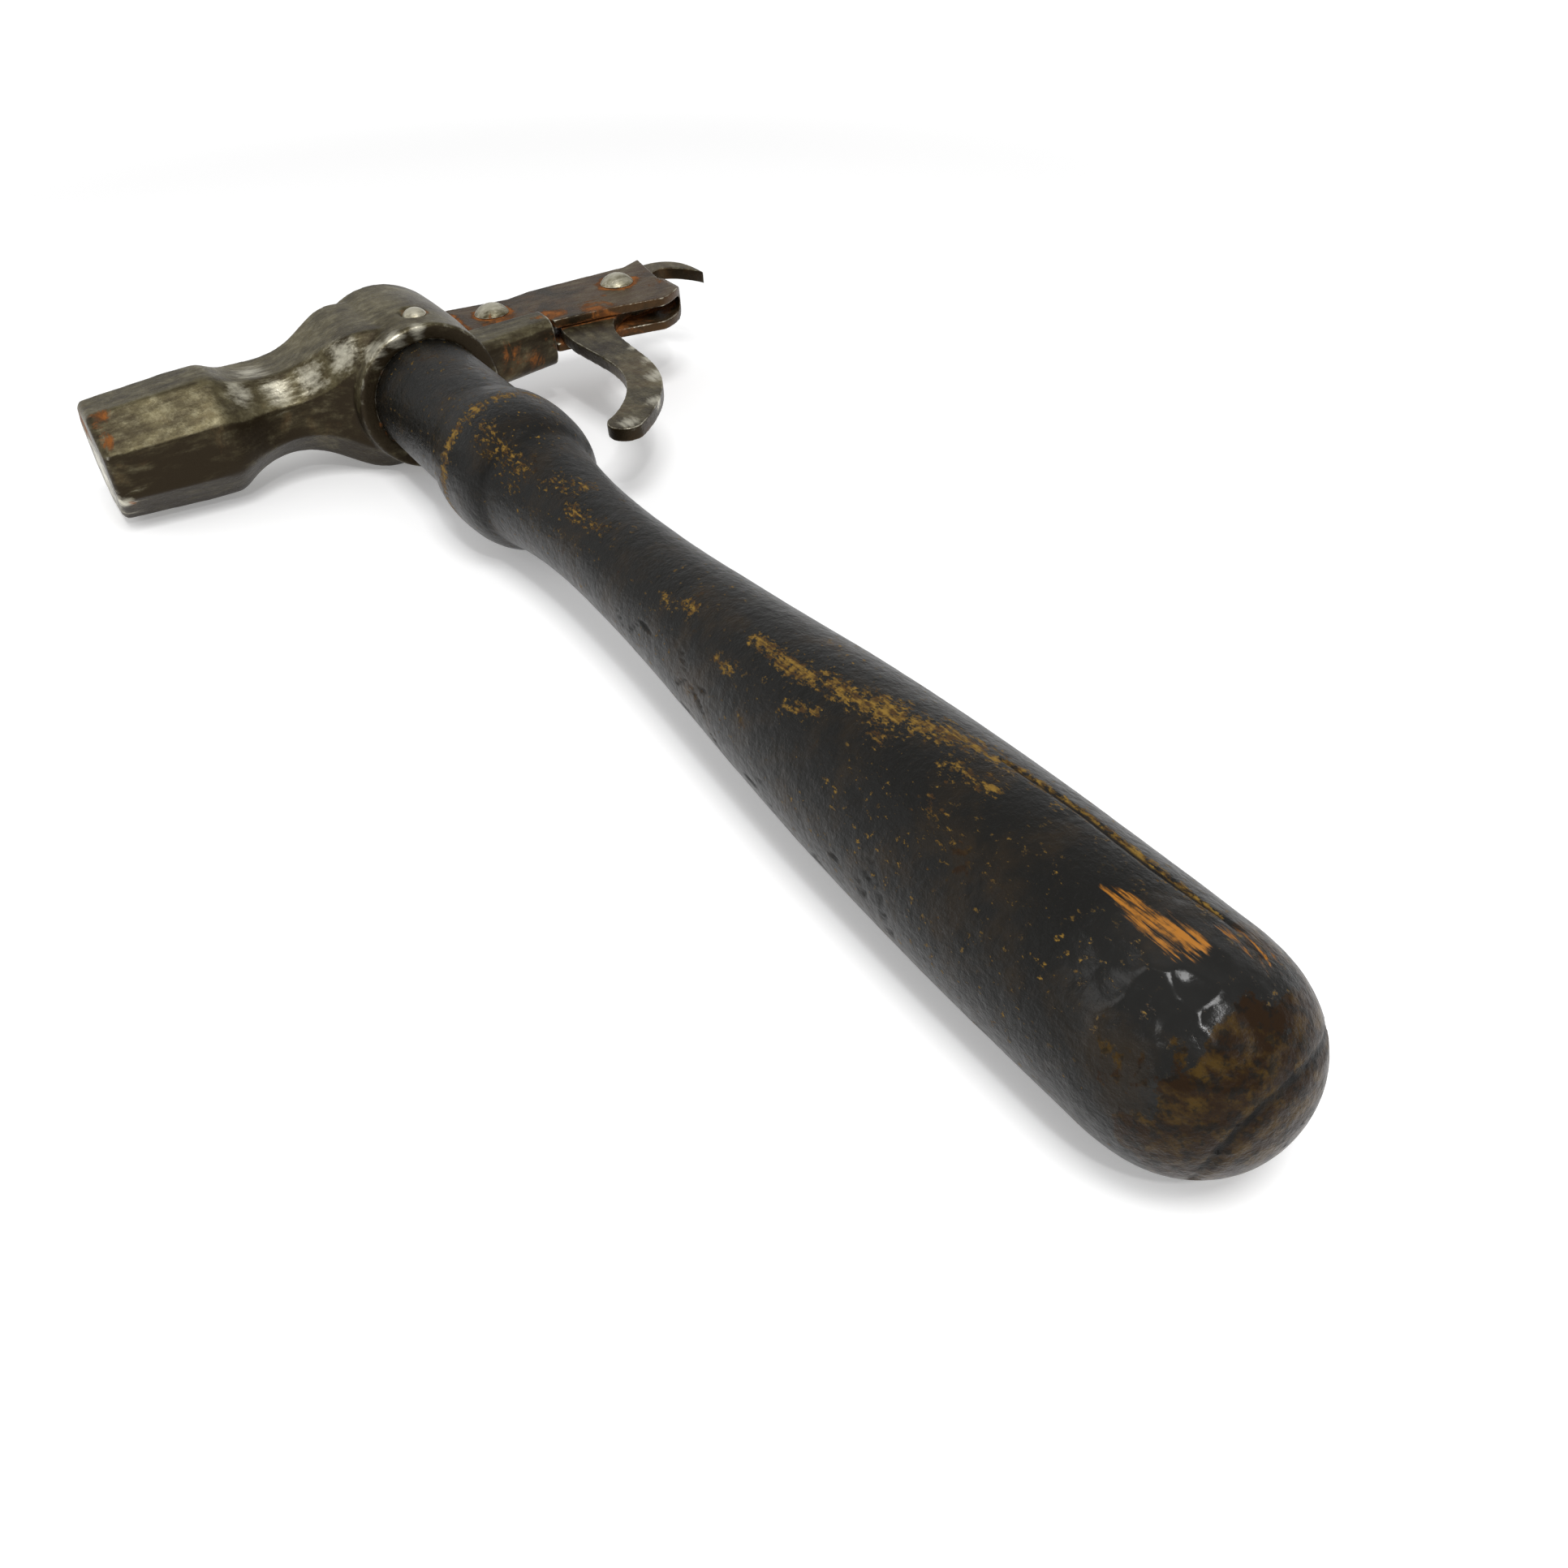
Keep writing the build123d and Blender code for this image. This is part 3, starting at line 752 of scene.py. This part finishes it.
lumps = wire(lathe_tree, "ShaderNodeTexNoise", {
    "Vector": wire(lathe_tree, "GeometryNodeInputPosition").outputs[0],
    "Scale": reckon(lathe_tree, "DIVIDE", 1.0, lathe_in.outputs["Lump Size"]), "Detail": 2.0,
})
swell = reckon(lathe_tree, "SUBTRACT", lumps.outputs["Fac"], 1.0)
swell = reckon(lathe_tree, "MULTIPLY", swell, lathe_in.outputs["Unevenness"])
swell = wire(lathe_tree, "ShaderNodeVectorMath", {
    0: wire(lathe_tree, "GeometryNodeInputNormal").outputs[0], 3: swell,
}, operation="SCALE")
uneven = wire(lathe_tree, "GeometryNodeSetPosition", {
    "Geometry": welded.outputs[0], "Offset": swell.outputs[0],
})
end_tree(lathe_tree, uneven.outputs[0], lathe_in.outputs["Material"])

# %% [markdown]
# ### Paint over wood
#
# The handle was painted black. Hands have polished the paint to a soft gloss and rubbed it through
# to golden wood: in a long streak on the grip, round the bead's shoulder, and in countless small
# flecks. Near the butt a patch is torn down to fresh orange fibres, and the butt itself is worn
# brown. The large marks are painted on the mesh as attributes, and the finish makes their edges
# ragged with noise, so a mark never looks like a stencil.

# %% Painted wood
PAINT_BLACK = (0.0050, 0.0047, 0.0038, 1)
PAINT_BROWN = (0.015, 0.010, 0.005, 1)
GOLDEN_WOOD = (0.24, 0.140, 0.024, 1)
BROWN_WOOD = (0.050, 0.024, 0.006, 1)
FRESH_WOOD = (0.36, 0.140, 0.016, 1)
BUTT_BROWN = (0.017, 0.0080, 0.0026, 1)
BUTT_OLIVE = (0.055, 0.031, 0.006, 1)
CRACK_DARK = (0.0025, 0.0020, 0.0015, 1)


def painted_wood(name):
    """Black paint, and wood where the 'bare', 'fresh', 'butt' and 'crack' attributes say."""
    made, tree, where, shader = finish(name)
    fibre = noise(tree, stretched(tree, where, (1, 0.06, 1)), 1900, detail=5, rough=0.65)
    blotch = noise(tree, where, 130, detail=7, rough=0.62, warp=0.3)
    speck = noise(tree, where, 850, detail=5, rough=0.62)
    streak = noise(tree, stretched(tree, where, (1, 0.35, 1)), 480, detail=6, rough=0.65)
    marks = ("bare", "fresh", "butt", "crack")
    bare, fresh, butt, crack = (attribute(tree, mark) for mark in marks)

    paint = mix(tree, window(tree, blotch, 0.46, 0.70), PAINT_BLACK, PAINT_BROWN)

    # Where the paint is through: inside the marks nearly everywhere, elsewhere only in flecks.
    pores = noise(tree, stretched(tree, where, (1, 0.5, 1)), 1700, detail=5, rough=0.7)
    raggedness = reckon(tree, "ADD", centred(tree, streak, 1.8), centred(tree, pores, 3.6))
    through = window(tree, reckon(tree, "ADD", bare, raggedness), 0.55, 0.90)
    sparse = window(tree, noise(tree, where, 70, detail=4), 0.42, 0.62)
    flecks = window(tree, reckon(tree, "ADD", pores, scaled(tree, speck, 0.8)), 1.035, 1.13)
    through = reckon(tree, "MAXIMUM", through, reckon(tree, "MULTIPLY", flecks, sparse))
    tint = reckon(tree, "MULTIPLY_ADD", fibre, 0.5, scaled(tree, speck, 0.5))
    wood = mix(tree, window(tree, tint, 0.42, 0.60), BROWN_WOOD, GOLDEN_WOOD)
    colour = mix(tree, scaled(tree, through, 0.92), paint, wood)

    # The butt is worn brown, with a ragged border and black left in its hollows.
    leather = noise(tree, where, 330, detail=5, rough=0.6)
    ragged_butt = reckon(tree, "ADD", butt, centred(tree, blotch, 2.4))
    ragged_butt = reckon(tree, "ADD", ragged_butt, centred(tree, leather, 1.8))
    worn_butt = window(tree, ragged_butt, 0.45, 0.60)
    butt_wood = mix(tree, window(tree, streak, 0.44, 0.66), BUTT_BROWN, BUTT_OLIVE)
    blackened = scaled(tree, window(tree, speck, 0.48, 0.62), 0.75)
    butt_wood = mix(tree, blackened, butt_wood, PAINT_BLACK)
    colour = mix(tree, worn_butt, colour, butt_wood)

    # Torn wood: pale fibres that stand among dark ones.
    torn = window(tree, reckon(tree, "ADD", fresh, centred(tree, fibre, 4.2)), 0.34, 0.72)
    torn = reckon(tree, "MULTIPLY", torn, window(tree, fresh, 0.02, 0.25))
    pale = weighed(tree, (fibre, 0.75), (speck, 0.25), (fresh, 0.12))
    fibres = mix(tree, window(tree, pale, 0.53, 0.67), BROWN_WOOD, FRESH_WOOD)
    colour = mix(tree, torn, colour, fibres)
    colour = mix(tree, window(tree, crack, 0.25, 0.75), colour, CRACK_DARK)
    tree.links.new(colour, shader.inputs["Base Color"])

    open_wood = reckon(tree, "MAXIMUM", through, torn)
    polish = attribute(tree, "polish")
    black = mix(tree, polish, 0.36, 0.15)
    gloss = mix(tree, open_wood, mix(tree, worn_butt, black, 0.32), 0.58)
    gloss = reckon(tree, "ADD", gloss, reckon(tree, "MULTIPLY_ADD", speck, 0.30, -0.13), clamp=True)
    tree.links.new(gloss, shader.inputs["Roughness"])
    shine = mix(tree, worn_butt, mix(tree, polish, 0.145, 0.30), 0.09)
    tree.links.new(shine, shader.inputs["Specular IOR Level"])

    height = weighed(tree, (open_wood, -0.55), (streak, 0.9), (fibre, 0.22), (speck, 1.2),
                     (leather, 2.0))
    height = reckon(tree, "MULTIPLY", height, reckon(tree, "MULTIPLY_ADD", polish, -0.85, 1.0))
    # The lacquer left near the butt is bruised all over in shallow bowls.
    bowls = wire(tree, "ShaderNodeTexVoronoi", {
        "Vector": where, "Scale": 310.0, "Smoothness": 0.45,
    }, feature="SMOOTH_F1").outputs["Distance"]
    bowls = reckon(tree, "MULTIPLY", bowls, bowls)
    bowls = reckon(tree, "MULTIPLY", bowls, scaled(tree, polish, 6.5))
    height = reckon(tree, "ADD", height, bowls)
    emboss(tree, shader, height, 0.16 * MM, 0.9)
    return made


handle_paint = painted_wood("handle_paint")

# %% [markdown]
# ### Turning the handle and cutting its kerf
#
# The wedge sits in a saw cut across the tenon's end. The cut is made in the turned mesh with a
# Boolean, from a copy of the wedge grown by a hair on every side.

# %% Turn the handle
COLUMNS, ROWS = 273, 321
UNEVENNESS, LUMP_SIZE = 0.30 * MM, 22 * MM
KERF_EASE, KERF_RUN_OUT = 0.06 * MM, 2 * MM

profile_curve = bpy.data.curves.new("handle_profile", "CURVE")
profile_curve.dimensions = "3D"
spline = profile_curve.splines.new("POLY")
spline.points.add(len(profile) - 1)
for point, (radius, y) in zip(spline.points, profile):
    point.co = (radius, y, 0, 1)
carrier = bpy.data.objects.new("handle_profile", profile_curve)
scene.collection.objects.link(carrier)
turned_mesh = run_tree(carrier, lathe_tree, {
    "Columns": COLUMNS, "Rows": ROWS, "Axis X": eye.x,
    "Unevenness": UNEVENNESS, "Lump Size": LUMP_SIZE, "Material": handle_paint,
})
bpy.data.objects.remove(carrier)

wedge_low, wedge_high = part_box("handle_wedge")
cutter_shape = merged_copy("handle_wedge")
wedge_middle = (wedge_low + wedge_high) / 2
for v in cutter_shape.verts:
    v.co += Vector(math.copysign(KERF_EASE, v.co[k] - wedge_middle[k]) for k in range(3))
    if v.co.y > handle_high.y:
        v.co.y += KERF_RUN_OUT
cutter_mesh = bpy.data.meshes.new("kerf_cutter")
cutter_shape.to_mesh(cutter_mesh)
cutter_shape.free()
cutter = bpy.data.objects.new("kerf_cutter", cutter_mesh)
carrier = bpy.data.objects.new("turned_handle", turned_mesh)
scene.collection.objects.link(cutter)
scene.collection.objects.link(carrier)
kerf = carrier.modifiers.new("kerf", "BOOLEAN")
kerf.object = cutter
kerf.operation = "DIFFERENCE"
depsgraph = bpy.context.evaluated_depsgraph_get()
handle_mesh = bpy.data.meshes.new_from_object(carrier.evaluated_get(depsgraph), depsgraph=depsgraph)
bpy.data.objects.remove(carrier)
bpy.data.objects.remove(cutter)
print("handle faces:", len(handle_mesh.polygons))

# %% [markdown]
# ### Marks that follow the handle
#
# A mark is a line on the surface, given as a few stations: how far from the butt, at what angle
# round the axis (0 on the side of the puller, 90 on top), and how wide. How near each point of the
# mesh is to such a line paints the mark, and the same measure cuts cracks and presses dents.


# %% Helpers for marks
def on_handle(from_butt_mm, angle):
    """A place on the handle's surface."""
    radius = np.interp(from_butt_mm * MM, from_butt, radii)
    turn = math.radians(angle)
    place = (eye.x + radius * math.cos(turn), handle_low.y + from_butt_mm * MM,
             radius * math.sin(turn))
    return np.array(place)


def nearness(points, stations):
    """1 on the line through the stations, and 0 at its own width from it and beyond."""
    result = np.zeros(len(points))
    spots = [on_handle(s, angle) for s, angle, width in stations]
    widths = [width * MM for s, angle, width in stations]
    for a, b, wide_a, wide_b in zip(spots, spots[1:], widths, widths[1:]):
        line = b - a
        share = np.clip((points - a) @ line / (line @ line), 0, 1)
        away = np.linalg.norm(points - a - share[:, None] * line, axis=1)
        result = np.maximum(result, 1 - away / (wide_a + (wide_b - wide_a) * share))
    return result


# %% Paint the marks
BEAD_RING, BEAD_RING_HALF = 180.5, 3.2     # where the bead is worn in a ring, mm from the butt
BUTT_WORN, BUTT_FADE = 10.5 * MM, 6 * MM
TENON_BARE = 1 * MM

points, normals = read_points(handle_mesh), read_normals(handle_mesh)
butt_distance = points[:, 1] - handle_low.y
angles = np.degrees(np.arctan2(points[:, 2], points[:, 0] - eye.x))

# A station is its distance from the butt in mm, its angle in degrees, and its width in mm.
grip_streak = [
    (90, 107, 1.5), (80, 106, 2.6), (71, 100, 2.8), (63, 94, 4.0), (57, 83, 3.6),
    (47, 73, 2.2), (36, 68, 1.5), (16, 67, 1.3),
]
side_scuffs = [
    [(93, 134, 1.5), (88, 134, 2.6)], [(62, 107, 2.2), (60, 108, 2.2)],
    [(50, 96, 3.0), (45, 92, 3.0)],
]
waist_scuffs = [
    [(174, 118, 3.4), (162, 128, 4.0)], [(154, 110, 3.0), (149, 94, 3.4)],
    [(146, 122, 2.4), (134, 112, 1.8)], [(112, 128, 1.8), (104, 118, 1.6)],
    [(76, 128, 1.6), (70, 120, 1.8)], [(48, 118, 1.6), (42, 124, 2.0)],
]
bead_ring = 1 - np.abs(butt_distance / MM - BEAD_RING) / BEAD_RING_HALF
ring_strength = 0.78 + 0.28 * np.cos(np.radians(angles - 130))

bare = 0.95 * nearness(points, grip_streak) ** 0.6
for scuffs, depth in ((side_scuffs, 0.68), (waist_scuffs, 0.70)):
    for scuff in scuffs:
        bare = np.maximum(bare, depth * nearness(points, scuff) ** 0.5)
bare = np.maximum(bare, np.clip(bead_ring, 0, 1) * ring_strength)
fresh = np.maximum(nearness(points, [(25, 97, 0.9), (20, 95, 2.0), (15.6, 92, 3.6)]),
                   0.36 * nearness(points, [(14, 72, 2.0), (10, 66, 2.5)]))
butt = np.clip((BUTT_WORN - butt_distance) / BUTT_FADE, 0, 1)
butt = np.maximum(butt, 0.8 * nearness(points, [(12, 60, 5), (16, 40, 4)]))
butt = np.maximum(butt, (butt_distance > handle_length - TENON_BARE) * 1.0)

# %% [markdown]
# ### Cracks and dents
#
# Old wood cracks along its grain. A few long cracks are given as lists of stations, one of them
# across the butt. Short ones are scattered on the poll's side of the grip with a fixed seed. A
# crack is a narrow groove, deepest at its middle.

# %% Cut cracks and press dents
CRACK_DEPTH, DENT_DEPTH, FRESH_DEPTH = 0.45 * MM, 0.16 * MM, 0.10 * MM
CRACK_SEED, CRACK_COUNT, CRACK_TIP = 7, 40, 0.2
DENT_LENGTH = 0.6
SHARP_ANGLE = math.radians(55)

cracks = [
    [(48, 73, 0.4), (36, 68, 0.9), (25, 69, 0.8), (14, 66, 0.5)],
    [(4.2, -138, 0.5), (2.8, -160, 0.8), (1.9, 178, 1.0), (1.3, 150, 1.1), (1.0, 118, 1.0),
     (1.1, 85, 1.1), (1.6, 60, 1.0), (2.4, 42, 1.1), (3.8, 28, 0.9), (5.8, 18, 0.5)],
    [(10, 30, 0.5), (24, 24, 1.0), (42, 27, 0.4)],
]
scatter = np.random.default_rng(CRACK_SEED)
for _ in range(CRACK_COUNT):
    start, angle = scatter.uniform(28, 122), scatter.uniform(158, 226)
    length, width = scatter.uniform(1.0, 5), scatter.uniform(0.30, 0.60)
    drift = scatter.uniform(-9, 9)
    cracks.append([(start, angle, CRACK_TIP), (start + length / 2, angle + drift, width),
                   (start + length, angle + 2 * drift, CRACK_TIP)])
crack = np.zeros(len(points))
for line in cracks:
    crack = np.maximum(crack, nearness(points, line))
dents = [
    (14.2, 119, 2.1), (10.2, 127, 2.0), (11.4, 106, 1.8), (13.2, 97, 2.0), (33, 152, 1.8),
    (56, 138, 1.6),
]
pressed = np.zeros(len(points))
for s, angle, width in dents:
    near = nearness(points, [(s, angle, width), (s + DENT_LENGTH, angle, width)])
    pressed = np.maximum(pressed, near * near * (3 - 2 * near))
sunk = CRACK_DEPTH * np.clip(crack, 0, 1) + DENT_DEPTH * pressed
sunk += FRESH_DEPTH * np.clip(fresh, 0, 1)
handle_mesh.vertices.foreach_set("co", (points - normals * sunk[:, None]).ravel())
polish = nearness(points, [(14, 112, 10), (9, 112, 10)]) ** 0.5
marks = {"bare": bare, "fresh": fresh, "butt": butt, "crack": crack, "polish": polish}
for name, values in marks.items():
    keep(handle_mesh, name, np.clip(values, 0, 1))
shade_smooth(handle_mesh)
handle_mesh.set_sharp_from_angle(angle=SHARP_ANGLE)
handle_mesh.update()
turned_handle = new_piece("turned_handle", handle_mesh, "hammer")
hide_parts("handle")
print("cracks:", len(cracks), "dents:", len(dents))

# %% [markdown]
# ## The wedge
#
# A slip of hardwood, driven into the kerf and pared off flush. Its finish is the wood's alone,
# darkened by dirt.

# %% Wedge
def wedge_wood_finish():
    """Bare wood, its fibres along the handle, dirty in patches."""
    made, tree, where, shader = finish("wedge_wood")
    fibre = noise(tree, stretched(tree, where, (1, 0.08, 1)), 1600, detail=6, rough=0.65)
    dirt = noise(tree, where, 300, detail=8, rough=0.65)
    colour = mix(tree, window(tree, fibre, 0.38, 0.62), BROWN_WOOD, GOLDEN_WOOD)
    colour = mix(tree, window(tree, dirt, 0.46, 0.66), colour, BUTT_BROWN)
    tree.links.new(colour, shader.inputs["Base Color"])
    tree.links.new(mix(tree, dirt, 0.75, 0.5), shader.inputs["Roughness"])
    emboss(tree, shader, fibre, 0.08 * MM, 0.6)
    return made


wedge_skin = soft_skin("handle_wedge", 0.2 * MM, rounds=2)
wedge_skin.materials.append(wedge_wood_finish())
shade_smooth(wedge_skin)
driven_wedge = new_piece("driven_wedge", wedge_skin, "hammer")
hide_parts("handle_wedge")
